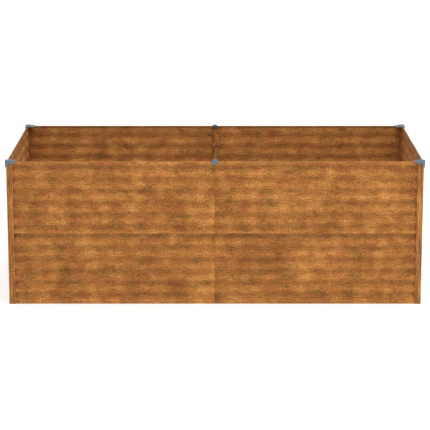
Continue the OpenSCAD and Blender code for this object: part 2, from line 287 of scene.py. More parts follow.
def weather_sheet(piece, tier, posts):
    """Marks where the sheet is darker or lighter: the troughs, darker partly from patina
    and partly as painted shade; painted shade on the undersides of the waves and along the
    first trough under the rim; painted shadow under the lap and beside each post; painted
    highlights on the rim, the lower edge of the upper tier and the foot; the inside faces
    painted lighter; and the hem. Each sheet also fades a little from end to end.
    posts gives the inner edge of each post and its side, -1 or 1."""
    for edge, side in posts:
        for distance in (post_shadow_full, post_shadow_end):
            start_edit(piece, "FACE")
            bpy.ops.mesh.select_all(action="SELECT")
            bpy.ops.mesh.bisect(plane_co=(edge - side * distance, 0, 0), plane_no=(1, 0, 0))
    put_down()
    patina_and_painted_light = piece.data.attributes.new("patina_and_painted_light", "FLOAT", "POINT")
    hem = piece.data.attributes.new("hem", "FLOAT", "POINT")
    start = min(v.co.x for v in piece.data.vertices)
    length = max(v.co.x for v in piece.data.vertices) - start
    hem_y = crest_y + wave_in(0) + rim_lip - MM
    for v in piece.data.vertices:
        drop = rim_z - v.co.z
        # Faces that turn downwards get painted shade, and the troughs are darker, partly
        # patina and partly painted shade.
        overhung = min(max(-v.normal.z, -steepest_normal), steepest_normal)
        dark = (v.co.y - crest_y) / wave_depth + painted_underside_shade * overhung
        # Painted shadow under the lap.
        if tier == "lower" and upper_end < drop < lower_first:
            dark = max(dark, under_lap_shadow)
        # Painted shade along the first trough under the rim.
        if tier == "upper" and -under_rim_shade_above < drop - rim_to_trough < under_rim_shade_below:
            dark = max(dark, under_rim_shade)
        # Painted highlights on the rim and on the bottom edges.
        if drop < highlight_h:
            dark = rim_highlight
        if tier == "upper" and drop > upper_end - highlight_h or drop > wall_h - highlight_h:
            dark = edge_highlight
        # Painted shadow beside each post.
        for edge, side in posts:
            distance = side * (edge - v.co.x)
            if distance < post_shadow_end:
                dark += post_shadow_dark * min(1, (post_shadow_end - distance) / (post_shadow_end - post_shadow_full))
        dark += end_to_end * (0.5 - (v.co.x - start) / length)
        # The inside faces are painted lighter.
        if v.normal.y > 0:
            dark -= inside_painted_lighter
        patina_and_painted_light.data[v.index].value = dark
        folded = tier == "upper" and v.co.y > hem_y and drop < rim_hem + MM
        hem.data[v.index].value = hem_scale if folded else 0


def linear(hex_colour):
    """An sRGB hex colour as linear RGBA."""
    channels = []
    for i in (1, 3, 5):
        c = int(hex_colour[i:i + 2], 16) / 255
        channels.append(c / 12.92 if c <= 0.04045 else ((c + 0.055) / 1.055) ** 2.4)
    return (*channels, 1.0)


def new_material(name):
    """A material with an empty node tree, and that tree."""
    material = bpy.data.materials.new(name)
    material.use_nodes = True
    material.node_tree.nodes.clear()
    return material, material.node_tree


def add(tree, kind, settings=None, links=None):
    """Adds a node, sets its properties and input values, and links sockets into it."""
    made = tree.nodes.new(kind)
    for key, value in (settings or {}).items():
        if isinstance(key, str) and hasattr(made, key):
            setattr(made, key, value)
        else:
            made.inputs[key].default_value = value
    for key, source in (links or {}).items():
        tree.links.new(source, made.inputs[key])
    return made


# How much brightness the steel loses where the mark on its mesh is 1, patina and painted
# shade alike.
patina_and_shade_dark = 0.165


def rust(name, upright=False, shade=1.0, seed=0.0):
    """Weathering steel: hot-rolled sheet with its rust patina left to settle outdoors. To
    the eye it is matt and mottled, light orange-brown over darker red-brown, speckled and
    faintly streaked, with patches of olive-brown mill scale. It is darker in the troughs,
    partly from the patina where water stands and partly as painted shade, and it carries
    the painted shade, painted shadows and painted highlights marked on its mesh."""
    material, tree = new_material(name)
    uv = add(tree, "ShaderNodeTexCoord").outputs["UV"]
    # Marks are drawn out along the way the steel was rolled, which is upright in a post.
    drawn = (1, 1 / 6, 1) if upright else (1 / 1.6, 1, 1)
    far_drawn = (1, 1 / 16, 1) if upright else (1 / 8, 1, 1)
    hanging = (1, 1 / 2.5, 1)
    stretched = add(tree, "ShaderNodeMapping",
                    {"Scale": drawn, "Location": (seed, seed, 0)}, {"Vector": uv})
    streaked = add(tree, "ShaderNodeMapping",
                   {"Scale": far_drawn, "Location": (0, seed, 0)}, {"Vector": uv})
    run_down = add(tree, "ShaderNodeMapping",
                   {"Scale": hanging, "Location": (0, 0, seed)}, {"Vector": uv})
    even = add(tree, "ShaderNodeMapping", {"Location": (seed, 0, 0)}, {"Vector": uv})

    # The size of each kind of mark, and the way it is drawn out. Rust grains and streaks are
    # about 1 mm wide. They are drawn at 7 mm, or they would not show.
    layers = {
        "clouds": (110 * MM, 3, 0.5, run_down),
        "mottle": (40 * MM, 5, 0.6, stretched),
        "streaks": (7 * MM, 2, 0.5, streaked),
        "grain": (7 * MM, 4, 0.75, even),
        "scale_marks": (55 * MM, 6, 0.75, stretched),
        "flecks": (20 * MM, 5, 0.7, even),
        "blush": (70 * MM, 5, 0.7, even),
    }
    marks = {}
    for layer, (size, detail, roughness, way) in layers.items():
        pattern = add(tree, "ShaderNodeTexNoise",
                      {"Scale": 1 / size, "Detail": detail, "Roughness": roughness},
                      {"Vector": way.outputs["Vector"]})
        marks[layer] = pattern.outputs["Fac"]

    # The ground colour comes from four of them, each with its share.
    shares = {"clouds": 0.20, "mottle": 0.20, "streaks": 0.12, "grain": 0.48}
    if upright:
        shares = {"clouds": 0.08, "mottle": 0.16, "streaks": 0.36, "grain": 0.40}
    tone = None
    for layer, share in shares.items():
        links = {0: marks[layer]} if tone is None else {0: marks[layer], 2: tone}
        summed = add(tree, "ShaderNodeMath", {"operation": "MULTIPLY_ADD", 1: share, 2: 0},
                     links)
        tone = summed.outputs["Value"]
    ramp = add(tree, "ShaderNodeValToRGB", links={"Fac": tone})
    darkest, lightest = ramp.color_ramp.elements
    darkest.position = 0.414
    darkest.color = linear("#73461b")
    lightest.position = 0.596
    lightest.color = linear("#d0934c")
    for place, between_colour in ((0.46, "#8e5826"), (0.50, "#a2672f"), (0.54, "#b47639")):
        ramp.color_ramp.elements.new(place).color = linear(between_colour)
    colour = ramp.outputs["Color"]

    # Over it lie patches: the level of the mark at which one starts and is full, how strong
    # it is, and its colour.
    for layer, starts, full, strength, tint in (
            ("scale_marks", 0.54, 0.66, 0.8, "#6b4d21"),
            ("flecks", 0.56, 0.68, 0.6, "#d07e30"),
            ("blush", 0.53, 0.66, 0.4, "#944e26")):
        patch = add(tree, "ShaderNodeMapRange",
                    {"From Min": starts, "From Max": full, "To Min": 0, "To Max": strength,
                     "interpolation_type": "SMOOTHSTEP"}, {"Value": marks[layer]})
        tinted = add(tree, "ShaderNodeMix", {"data_type": "RGBA", 7: linear(tint)},
                     {0: patch.outputs["Result"], 6: colour})
        colour = tinted.outputs[2]

    # The patina, painted shade and painted highlights marked on the mesh darken or lighten
    # the steel.
    patina_and_painted_light = add(tree, "ShaderNodeAttribute", {"attribute_name": "patina_and_painted_light"})
    level = add(tree, "ShaderNodeMath",
                {"operation": "MULTIPLY_ADD", 1: -patina_and_shade_dark, 2: shade},
                {0: patina_and_painted_light.outputs["Fac"]})
    hue = add(tree, "ShaderNodeMapRange", {"To Min": 0.52, "To Max": 0.48},
              {"Value": marks["blush"]})
    shaded = add(tree, "ShaderNodeHueSaturation",
                 links={"Color": colour, "Value": level.outputs["Value"],
                        "Hue": hue.outputs["Result"]})
    # Mill scale still clings to the folded hem, and turns it olive.
    hem = add(tree, "ShaderNodeAttribute", {"attribute_name": "hem"})
    colour = add(tree, "ShaderNodeMix",
                 {"data_type": "RGBA", "blend_type": "MULTIPLY", 7: linear("#bccab0")},
                 {0: hem.outputs["Fac"], 6: shaded.outputs["Color"]})

    relief = add(tree, "ShaderNodeMath", {"operation": "ADD"},
                 {0: marks["grain"], 1: marks["mottle"]})
    bump = add(tree, "ShaderNodeBump", {"Strength": 0.5, "Distance": 0.3 * MM},
               {"Height": relief.outputs["Value"]})
    rough = add(tree, "ShaderNodeMapRange", {"To Min": 0.8, "To Max": 0.97},
                {"Value": marks["grain"]})
    shader = add(tree, "ShaderNodeBsdfPrincipled",
                 {"Metallic": 0.0, "IOR": 1.5, "Specular IOR Level": 0.3},
                 {"Base Color": colour.outputs[2], "Roughness": rough.outputs["Result"],
                  "Normal": bump.outputs["Normal"]})
    add(tree, "ShaderNodeOutputMaterial", links={"Surface": shader.outputs["BSDF"]})
    return material


rusted_sheet = rust("weathering_steel_rolled_sheet", shade=0.97)

half_turn = Matrix.Rotation(pi, 4, "Z")
slide_right = Matrix.Translation((-panel_low.x - panel_high.x, 0, 0))
panel_uv_step = (1.37, 0.71)
tier_uv_down = 0.53
long_panels = {
    "upper": upper_sheet(panel_low.x, panel_high.x),
    "lower": lower_sheet(panel_low.x, panel_high.x),
}
left_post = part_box("post_front_left")[1].x
right_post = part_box("post_front_right")[0].x
for tier, front_left in long_panels.items():
    thicken_sheet(front_left)
    front_right = copy_piece(front_left, slide_right)
    weather_sheet(front_left, tier, [(left_post, -1)])
    weather_sheet(front_right, tier, [(right_post, 1)])
    back_right = copy_piece(front_left, half_turn)
    back_left = copy_piece(front_right, half_turn)
    tier_down = 0 if tier == "upper" else tier_uv_down
    panels = {"front_left": front_left, "front_right": front_right,
              "back_left": back_left, "back_right": back_right}
    for i, (side, piece) in enumerate(panels.items()):
        shift_uv(piece, panel_uv_step[0] * i, panel_uv_step[1] * i + tier_down)
        hand_over(piece, f"corrugated_{side}_{tier}", "weathering_steel_sheet",
                  rusted_sheet, f"panel_{side}_{tier}")


# ---------------------------------------------------------------------------------------
# Short-wall panels
# The same sheet cut to one panel per tier, so each short wall has no seam. They are made
# along X like the others and turned to their walls.

side_low, side_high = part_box("panel_side_left_upper")
post_low, post_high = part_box("post_front_left")
to_left = (Matrix.Translation((post_low.x, 0, 0)) @ Matrix.Rotation(-pi / 2, 4, "Z")
           @ Matrix.Translation((0, -post_low.y, 0)))
side_uv_start = 3.1
side_uv_step = (1.9, 0.37)
side_panels = {
    "upper": upper_sheet(side_low.y, side_high.y),
    "lower": lower_sheet(side_low.y, side_high.y),
}
for i, (tier, left_panel) in enumerate(side_panels.items()):
    thicken_sheet(left_panel)
    weather_sheet(left_panel, tier, [(post_high.y, -1), (-post_high.y, 1)])
    left_panel.data.transform(to_left)
    right_panel = copy_piece(left_panel, half_turn)
    for k, (side, piece) in enumerate({"left": left_panel, "right": right_panel}.items()):
        shift_uv(piece, side_uv_start + side_uv_step[0] * k,
                 side_uv_step[1] * k + tier_uv_down * i)
        hand_over(piece, f"corrugated_side_{side}_{tier}", "weathering_steel_sheet",
                  rusted_sheet, f"panel_side_{side}_{tier}")


# ---------------------------------------------------------------------------------------
# Corner posts
# Angles folded from 1.5 mm weathering steel, full height, outside the ends of the panels,
# with a shallow groove pressed down each flange to stiffen it.

post_t = 1.5 * MM
fold_r = 3 * MM
fold_steps = 8
cut_edge_r = 0.3 * MM
groove_at = 12.5 * MM
groove_w = 3 * MM
groove_depth = 0.8 * MM
post_leg = post_high.x - post_low.x
post_h = post_high.z - post_low.z


def ease_edges(piece, width, segments, sharper_than):
    """Rounds every edge sharper than an angle in degrees."""
    apply_modifier(piece, "BEVEL", width=width, segments=segments, limit_method="ANGLE",
                   angle_limit=radians(sharper_than))


def folded_post():
    """One post with its outside corner at the origin and its flanges along +X and +Y."""
    groove_out = groove_at + groove_w / 2
    groove_in = groove_at - groove_w / 2
    flange = new_plane(((post_leg + groove_out) / 2, 0, post_low.z + post_h / 2),
                       (post_leg - groove_out, post_h), (pi / 2, 0, 0))
    pick(flange, "EDGE", lambda points: all(p.x < groove_out + near for p in points))
    extrude((-groove_w / 2, groove_depth, 0))
    extrude((-groove_w / 2, -groove_depth, 0))
    extrude((fold_r - groove_in, 0, 0))
    # With no window, a spin by a positive angle turns this edge clockwise.
    bpy.ops.mesh.spin(steps=fold_steps, angle=pi / 2, center=(fold_r, fold_r, 0),
                      axis=(0, 0, 1))
    extrude((0, groove_in - fold_r, 0))
    extrude((groove_depth, groove_w / 2, 0))
    extrude((-groove_depth, groove_w / 2, 0))
    extrude((0, post_leg - groove_out, 0))
    start_edit(flange, "VERT")
    bpy.ops.mesh.select_all(action="SELECT")
    bpy.ops.mesh.remove_doubles(threshold=weld)
    bpy.ops.mesh.normals_make_consistent(inside=False)
    bpy.ops.object.mode_set(mode="OBJECT")
    outward = flange.data.polygons[0].normal.y < 0
    apply_modifier(flange, "SOLIDIFY", thickness=post_t, offset=-1 if outward else 1,
                   use_even_offset=True)
    ease_edges(flange, cut_edge_r, 2, 60)
    return flange


turns = {"front_left": 0, "front_right": pi / 2, "back_right": pi, "back_left": -pi / 2}


def at_corner(corner, z):
    """Carries what is made with its outside corner at the origin to a corner of the box."""
    low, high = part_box("post_" + corner)
    outside = Vector((low.x if "left" in corner else high.x,
                      low.y if "front" in corner else high.y, z))
    return Matrix.Translation(outside) @ Matrix.Rotation(turns[corner], 4, "Z")


rusted_angle = rust("weathering_steel_folded_angle", upright=True, shade=0.88, seed=2.3)
post_uv_step = (0.83, 1.13)
post = folded_post()
for i, corner in enumerate(turns):
    piece = copy_piece(post, at_corner(corner, 0))
    finish_mesh(piece, smooth_under=50)
    shift_uv(piece, post_uv_step[0] * i, post_uv_step[1] * i)
    hand_over(piece, "angle_post_" + corner, "weathering_steel_posts", rusted_angle,
              "post_" + corner)
bpy.data.objects.remove(post)


# ---------------------------------------------------------------------------------------
# Middle strips
# A hat section of 1.5 mm weathering steel behind each middle seam. Its flanges lie on the
# troughs of both panels and its web stands inwards, with the tie bars bolted to it.

strip_t = 1.5 * MM
strip_edge_r = 0.35 * MM
stud_d = 5 * MM
nut_flats = 1.6 * stud_d
spanner_room = 0.8 * MM
strip_flange = nut_flats * 2 / sqrt(3) + spanner_room
strip_low, strip_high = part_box("middle_strip_front")


def hat_strip():
    """The front strip, bent round from its left flange to its right."""
    half = strip_t / 2
    out_y = strip_low.y + half
    web_y = strip_high.y - half
    web_x = strip_high.x - strip_flange - half
    length = strip_high.z - strip_low.z
    flange_w = strip_high.x - web_x
    strip = new_plane((strip_low.x + flange_w / 2, out_y, strip_low.z + length / 2),
                      (flange_w, length), (pi / 2, 0, 0))
    pick(strip, "EDGE", lambda points: all(p.x > -web_x - near for p in points))
    extrude((0, web_y - out_y, 0))
    extrude((2 * web_x, 0, 0))
    extrude((0, out_y - web_y, 0))
    extrude((flange_w, 0, 0))
    apply_modifier(strip, "SOLIDIFY", thickness=strip_t, offset=0, use_even_offset=True)
    ease_edges(strip, strip_edge_r, 2, 50)
    finish_mesh(strip, smooth_under=50)
    return strip


# The strip's rust is painted darker than the sheet's, as painted shade on its web, which
# stands out into the light.
rusted_strip_painted_shade = rust("weathering_steel_bent_strip", upright=True, shade=0.78, seed=5.1)
back_strip_uv = (0.4, 0.9)
front_strip = hat_strip()
back_strip = copy_piece(front_strip, half_turn)
shift_uv(back_strip, *back_strip_uv)
hand_over(front_strip, "hat_strip_front", "weathering_steel_inner", rusted_strip_painted_shade,
          "middle_strip_front")
hand_over(back_strip, "hat_strip_back", "weathering_steel_inner", rusted_strip_painted_shade,
          "middle_strip_back")


# ---------------------------------------------------------------------------------------
# Tie bars
# Angle bars of 1.5 mm weathering steel from strip to strip, one under the rim and one low
# down, which keep the long walls from bowing. The ends of the upright leg fold into tabs.

tie_t = 1.5 * MM
tie_flat = 12 * MM
tie_edge_r = 0.35 * MM
tab_gap = 2 * MM
# The outer share of the flat leg is left plain, and painted shade darkens the rest over this
# short way.
lit_share = 0.55
shade_edge = 1 * MM
corner_shade_dark = 2.8


def angle_tie(low, high):
    """A bar in its box: the flat leg at the bottom, the upright leg on the right."""
    half = tie_t / 2
    upright_x = high.x - half
    flat_low_x = high.x - tie_flat
    flat_end = high.y - tie_t - tab_gap
    lit_to = flat_low_x + lit_share * tie_flat
    tie = new_plane(((flat_low_x + lit_to) / 2, 0, low.z + half),
                    (lit_to - flat_low_x, 2 * flat_end))
    pick(tie, "EDGE", lambda points: all(p.x > lit_to - near for p in points))
    extrude((shade_edge, 0, 0))
    extrude((upright_x - lit_to - shade_edge, 0, 0))
    extrude((0, 0, high.z - low.z - half))
    for end in (-1, 1):
        pick(tie, "EDGE", lambda points: all(
            p.x > upright_x - near and p.y * end > flat_end - near for p in points))
        extrude((0, end * (high.y - half - flat_end), 0))
        extrude((low.x - upright_x, 0, 0))
    apply_modifier(tie, "SOLIDIFY", thickness=tie_t, offset=0, use_even_offset=True)
    ease_edges(tie, tie_edge_r, 2, 50)
    finish_mesh(tie, smooth_under=50)
    # Painted shade darkens the inside corner of the angle and the upright leg.
    patina_and_painted_light = tie.data.attributes.new("patina_and_painted_light", "FLOAT", "POINT")
    for v in tie.data.vertices:
        between_tabs = abs(v.co.y) < flat_end + MM
        in_shade = between_tabs and v.co.x > lit_to + shade_edge / 2
        patina_and_painted_light.data[v.index].value = corner_shade_dark if in_shade else 0
    return tie


rusted_tie = rust("weathering_steel_angle_bar", shade=0.95, seed=7.7)
tie_uv_step = (0.6, 0.2)
for i, level in enumerate(("upper", "lower")):
    tie = angle_tie(*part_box("tie_bar_" + level))
    shift_uv(tie, tie_uv_step[0] * i, tie_uv_step[1] * i)
    hand_over(tie, "angle_tie_" + level, "weathering_steel_inner", rusted_tie,
              "tie_bar_" + level)


# ---------------------------------------------------------------------------------------
# Corner caps
# Injection-moulded polypropylene, grey, pushed over the rim at each corner: an arm along
# each wall with a sloped end, and a lobe down the outside of the fold.

cap_proud = post_low.x - cad_low.x
cap_skirt = 11.5 * MM
cap_lobe_w = 13 * MM
cap_wall = 2.2 * MM
cap_gap = 0.3 * MM
cap_round = 2.4 * MM
inner_lip = 1 * MM
cap_low, cap_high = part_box("cap_front_left")
cap_rise = cap_high.z - rim_z
cap_reach = cap_high.x - post_low.x
cap_lobe_drop = rim_z - cap_low.z
trough_in = panel_low.y - post_low.y + sheet_t + wave_depth
cap_inside = trough_in + 2 * cap_gap
# Where an arm's slope changes: how far out, its top and the edge of its skirt.
arm_stations = [(cap_reach * 0.72, 0.60 * cap_rise, -0.85 * cap_skirt),
                (cap_reach, 0.35 * cap_rise, -0.35 * cap_skirt)]


def new_block(low, high):
    """A rectangular block between two corners, with its place put into its mesh."""
    low, high = Vector(low), Vector(high)
    put_down()
    bpy.ops.mesh.primitive_cube_add(size=1, location=(low + high) / 2)
    piece = bpy.context.object
    piece.scale = high - low
    bpy.ops.object.transform_apply(location=True, rotation=True, scale=True)
    return piece


def cut_away(piece, *cutters):
    """Cuts each block out of the piece, then removes the block."""
    for cutter in cutters:
        apply_modifier(piece, "BOOLEAN", operation="DIFFERENCE", object=cutter,
                       solver="EXACT")
        bpy.data.objects.remove(cutter)


def hollow_shade(piece, wanted):
    """Marks the upright faces that are painted dark brown, as painted shade."""
    mark = piece.data.attributes.new("hollow_shade", "FLOAT", "POINT")
    for v in piece.data.vertices:
        mark.data[v.index].value = 1 if v.normal.z < 0.4 and wanted(v.co) else 0


def moulded_corner():
    """A cap with the posts' outside corner at the origin, the rim at height 0."""
    across = cap_inside + cap_wall
    cap = new_block((-cap_proud, -cap_proud, -cap_skirt), (across, across, cap_rise))
    for k in (0, 1):
        pick(cap, "FACE", lambda points: all(p[k] > across - near for p in points))
        at, top, foot = across, cap_rise, -cap_skirt
        for reach, new_top, new_foot in arm_stations:
            step = [0, 0, 0]
            step[k] = reach - at
            extrude(step)
            shrink = (new_top - new_foot) / (top - foot)
            still_z = (new_top - shrink * top) / (1 - shrink)
            bpy.ops.transform.resize(value=(1, 1, shrink), center_override=(0, 0, still_z))
            at, top, foot = reach, new_top, new_foot
    start_edit(cap, "FACE")
    for k in (0, 1):
        normal = [0, 0, 0]
        normal[k] = 1
        middle = [0, 0, 0]
        middle[k] = cap_lobe_w - cap_proud
        bpy.ops.mesh.select_all(action="SELECT")
        bpy.ops.mesh.bisect(plane_co=middle, plane_no=normal)
    lobe_edge = cap_lobe_w - cap_proud + near
    pick(cap, "FACE", lambda points: all(
        p.z < -cap_skirt + near and p.x < lobe_edge and p.y < lobe_edge
        for p in points))
    extrude((0, 0, cap_skirt - cap_lobe_drop))
    bpy.ops.object.mode_set(mode="OBJECT")
    ease_edges(cap, cap_round, 4, 25)
    far = cap_reach + 10 * MM
    deep = -cap_lobe_drop - 5 * MM
    cut_away(
        cap,
        new_block((-cap_gap, -cap_gap, deep), (far, cap_inside, cap_gap)),
        new_block((-cap_gap, -cap_gap, deep), (cap_inside, far, cap_gap)),
        new_block((-cap_gap, -cap_gap, deep), (far, far, -inner_lip)),
    )
    arm_end = cap_reach - 0.3 * MM
    # The inside faces and the open ends of the arms are painted dark, as painted shade of
    # the hollow under the cap.
    hollow_shade(cap, lambda p: p.x > arm_end or p.y > arm_end
          or min(p.x, p.y) > cap_inside - MM)
    return cap


def moulded_grey(name):
    """Polypropylene, injection moulded in a spark-eroded mould: a satin grey skin with a
    faint blue cast, very fine grain, and a bloom of dust and rust wash on it. Its faces
    towards the soil, and the open ends of a corner cap's arms, are painted dark brown as
    painted shade of the hollow under it."""
    material, tree = new_material(name)
    place = add(tree, "ShaderNodeTexCoord").outputs["Object"]
    # The real grain is about 0.3 mm; it is drawn at 1.5 mm, or it would not show.
    grain = add(tree, "ShaderNodeTexNoise", {"Scale": 1 / (1.5 * MM), "Detail": 3},
                {"Vector": place})
    cloud = add(tree, "ShaderNodeTexNoise", {"Scale": 1 / (14 * MM), "Detail": 4},
                {"Vector": place})
    wash = add(tree, "ShaderNodeMapRange",
               {"From Min": 0.5, "From Max": 0.75, "To Min": 0, "To Max": 0.35},
               {"Value": cloud.outputs["Fac"]})
    skin = add(tree, "ShaderNodeMix",
               {"data_type": "RGBA", 6: linear("#4d5a64"), 7: linear("#616e78")},
               {0: grain.outputs["Fac"]})
    colour = add(tree, "ShaderNodeMix", {"data_type": "RGBA", 7: linear("#74695b")},
                 {0: wash.outputs["Result"], 6: skin.outputs[2]})
    # Painted shade: the marked faces turn dark brown.
    hollow_shade_mark = add(tree, "ShaderNodeAttribute", {"attribute_name": "hollow_shade"})
    share = add(tree, "ShaderNodeMath", {"operation": "MULTIPLY", 1: 0.9},
                {0: hollow_shade_mark.outputs["Fac"]})
    colour = add(tree, "ShaderNodeMix", {"data_type": "RGBA", 7: linear("#35271d")},
                 {0: share.outputs[0], 6: colour.outputs[2]})
    bump = add(tree, "ShaderNodeBump", {"Strength": 0.25, "Distance": 0.15 * MM},
               {"Height": grain.outputs["Fac"]})
    rough = add(tree, "ShaderNodeMapRange", {"To Min": 0.45, "To Max": 0.62},
                {"Value": grain.outputs["Fac"]})
    shader = add(tree, "ShaderNodeBsdfPrincipled", {"Metallic": 0.0, "IOR": 1.49},
                 {"Base Color": colour.outputs[2], "Roughness": rough.outputs["Result"],
                  "Normal": bump.outputs["Normal"]})
    add(tree, "ShaderNodeOutputMaterial", links={"Surface": shader.outputs["BSDF"]})
    return material


grey_cap = moulded_grey("polypropylene_moulded_grey")
corner_cap = moulded_corner()
for corner in turns:
    piece = copy_piece(corner_cap, at_corner(corner, rim_z))
    finish_mesh(piece, smooth_under=30)
    hand_over(piece, "moulded_cap_" + corner, "grey_plastic_caps", grey_cap, "cap_" + corner)
bpy.data.objects.remove(corner_cap)


# ---------------------------------------------------------------------------------------
# Middle caps
# The same moulded grey plastic: a domed saddle pushed over the rim at each middle seam,
# which covers the ends of both panels and the head of the strip behind them.

mid_low, mid_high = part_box("cap_middle_front")
saddle_foot = mid_low.z + 4 * MM
dome_share = 0.999
mid_outside = panel_low.y - cap_gap
mid_inside = strip_high.y + cap_gap
dome_r = (mid_high.x - mid_low.x) / 2
saddle_corner_r = 4.4 * MM
saddle_round = 2.6 * MM


def moulded_saddle():
    """The front cap, in its place: a rounded block with the room for the rim cut out."""
    saddle = new_block((mid_low.x, mid_low.y, saddle_foot), mid_high)
    pick(saddle, "EDGE", lambda points: all(p.z > mid_high.z - MM for p in points)
         and abs(points[0].x - points[1].x) < MM)
    bpy.ops.mesh.bevel(offset=dome_r * dome_share, offset_type="OFFSET", segments=14)
    pick(saddle, "EDGE", lambda points: all(p.z < saddle_foot + MM for p in points)
         and abs(points[0].x - points[1].x) < MM)
    bpy.ops.mesh.bevel(offset=saddle_corner_r, offset_type="OFFSET", segments=6)
    bpy.ops.object.mode_set(mode="OBJECT")
    ease_edges(saddle, saddle_round, 4, 50)
    wide = mid_high.x + MM
    cut_away(
        saddle,
        new_block((-wide, mid_outside, mid_low.z - MM), (wide, mid_inside, rim_z + cap_gap)),
        new_block((-wide, mid_outside, mid_low.z - MM),
                  (wide, mid_high.y + MM, rim_z - inner_lip)),
    )
    finish_mesh(saddle, smooth_under=30)
    # Its inside faces are painted dark, as painted shade of the hollow under it.
    hollow_shade(saddle, lambda p: p.y > mid_inside - MM and p.z < rim_z + 0.5 * cap_rise)
    return saddle


front_saddle = moulded_saddle()
back_saddle = copy_piece(front_saddle, half_turn)
hand_over(front_saddle, "moulded_saddle_front", "grey_plastic_caps", grey_cap,
          "cap_middle_front")
hand_over(back_saddle, "moulded_saddle_back", "grey_plastic_caps", grey_cap,
          "cap_middle_back")


# ---------------------------------------------------------------------------------------
# Studs, washers and nuts
# Weld studs, plain washers and hexagon nuts of carbon steel, all on the inside: a row down
# each flange of the posts, and two rows down each middle strip. They have rusted brown.

nut_h = 0.8 * stud_d
nut_bore = stud_d + 0.2 * MM
washer_d = 10 * MM
washer_t = 1 * MM
washer_bore = stud_d + 0.5 * MM
washer_edge_r = 0.15 * MM
stud_edge = 6 * MM
stud_past_nut = 1.5 * MM
thread_pitch = 0.8 * MM
thread_root = 0.86
thread_turns = 4
tip_share = 0.9
nut_face_share = 0.95
nut_chamfer = radians(30)


def new_rod(radius, y0, y1, sides):
    """A round or many-sided bar along +Y from the origin, with its place in its mesh."""
    put_down()
    bpy.ops.mesh.primitive_cylinder_add(vertices=sides, radius=radius, depth=y1 - y0,
                                        location=(0, (y0 + y1) / 2, 0),
                                        rotation=(pi / 2, pi / sides, 0))
    piece = bpy.context.object
    bpy.ops.object.transform_apply(location=True, rotation=True, scale=True)
    return piece


def threaded_rod(d, length):
    """A bar whose last turns are cut as a thread, with a chamfered tip."""
    end = length - thread_turns * thread_pitch
    rod = new_rod(d / 2, 0, end, 12)
    pick(rod, "FACE", lambda points: all(p.y > end - weld for p in points))
    for turn in range(thread_turns):
        for size in (thread_root, 1 / thread_root if turn < thread_turns - 1 else tip_share):
            extrude((0, thread_pitch / 2, 0))
            bpy.ops.transform.resize(value=(size, 1, size), center_override=(0, 0, 0))
    bpy.ops.object.mode_set(mode="OBJECT")
    return rod


def hexagon(flats, h):
    """A hexagonal block whose corners are turned off at both ends, as on any nut."""
    corner_r = flats / sqrt(3)
    face_r = nut_face_share * flats / 2
    chamfer = (corner_r - face_r) * tan(nut_chamfer)
    turned = new_rod(corner_r, chamfer, h - chamfer, 24)
    for end, side in ((chamfer, -1), (h - chamfer, 1)):
        pick(turned, "FACE", lambda points: all(abs(p.y - end) < weld for p in points))
        extrude((0, side * chamfer, 0))
        shrink = face_r / corner_r
        bpy.ops.transform.resize(value=(shrink, 1, shrink), center_override=(0, end, 0))
    block = new_rod(corner_r, 0, h, 6)
    apply_modifier(block, "BOOLEAN", operation="INTERSECT", object=turned, solver="EXACT")
    bpy.data.objects.remove(turned)
    return block


def hex_nut(flats, h, bore):
    """A nut whose seat is at the origin and whose bore runs along Y."""
    nut = hexagon(flats, h)
    cut_away(nut, new_rod(bore / 2, -MM, h + MM, 16))
    return nut


def flat_washer(outside, bore, t):
    """A punched ring with its edges eased."""
    washer = new_rod(outside / 2, 0, t, 24)
    cut_away(washer, new_rod(bore / 2, -MM, t + MM, 16))
    ease_edges(washer, washer_edge_r, 1, 60)
    return washer


def join_copies(pattern, places, name, material, node):
    """Copies the pattern to each place and joins the copies into one group piece."""
    twins = [copy_piece(pattern, place) for place in places]
    bpy.data.objects.remove(pattern)
    put_down()
    for twin in twins:
        twin.select_set(True)
    bpy.context.view_layer.objects.active = twins[0]
    bpy.ops.object.join()
    finish_mesh(twins[0], smooth_under=35)
    hand_over(twins[0], name, "rusted_fasteners", material, node)


def rusted_bolt(name):
    """Carbon steel fasteners, zinc long gone: dark brown rust with orange bloom, rough."""
    material, tree = new_material(name)
    place = add(tree, "ShaderNodeTexCoord").outputs["Object"]
    bloom = add(tree, "ShaderNodeTexNoise", {"Scale": 1 / (3 * MM), "Detail": 4},
                {"Vector": place})
    ramp = add(tree, "ShaderNodeValToRGB", links={"Fac": bloom.outputs["Fac"]})
    darkest, lightest = ramp.color_ramp.elements
    darkest.position = 0.38
    darkest.color = linear("#75492a")
    lightest.position = 0.66
    lightest.color = linear("#a86a37")
    bump = add(tree, "ShaderNodeBump", {"Strength": 0.4, "Distance": 0.3 * MM},
               {"Height": bloom.outputs["Fac"]})
    rough = add(tree, "ShaderNodeMapRange", {"To Min": 0.65, "To Max": 0.9},
                {"Value": bloom.outputs["Fac"]})
    shader = add(tree, "ShaderNodeBsdfPrincipled", {"Metallic": 0.0, "IOR": 1.5},
                 {"Base Color": ramp.outputs["Color"], "Roughness": rough.outputs["Result"],
                  "Normal": bump.outputs["Normal"]})
    add(tree, "ShaderNodeOutputMaterial", links={"Surface": shader.outputs["BSDF"]})
    return material


brown_bolt = rusted_bolt("carbon_steel_rusted_fastener")

# Every second trough for the strips, and the crest below it for the posts.
trough_drops = [first + k * pitch for first in (rim_to_trough, lower_first)
                for k in range(0, waves, 2)]
crest_drops = [drop + pitch / 2 for drop in trough_drops]
# A post is the same on both sides of its fold, so swapping X and Y carries what is on one
# flange to the other.
swap_xy = Matrix(((0, 1, 0, 0), (1, 0, 0, 0), (0, 0, 1, 0), (0, 0, 0, 1)))


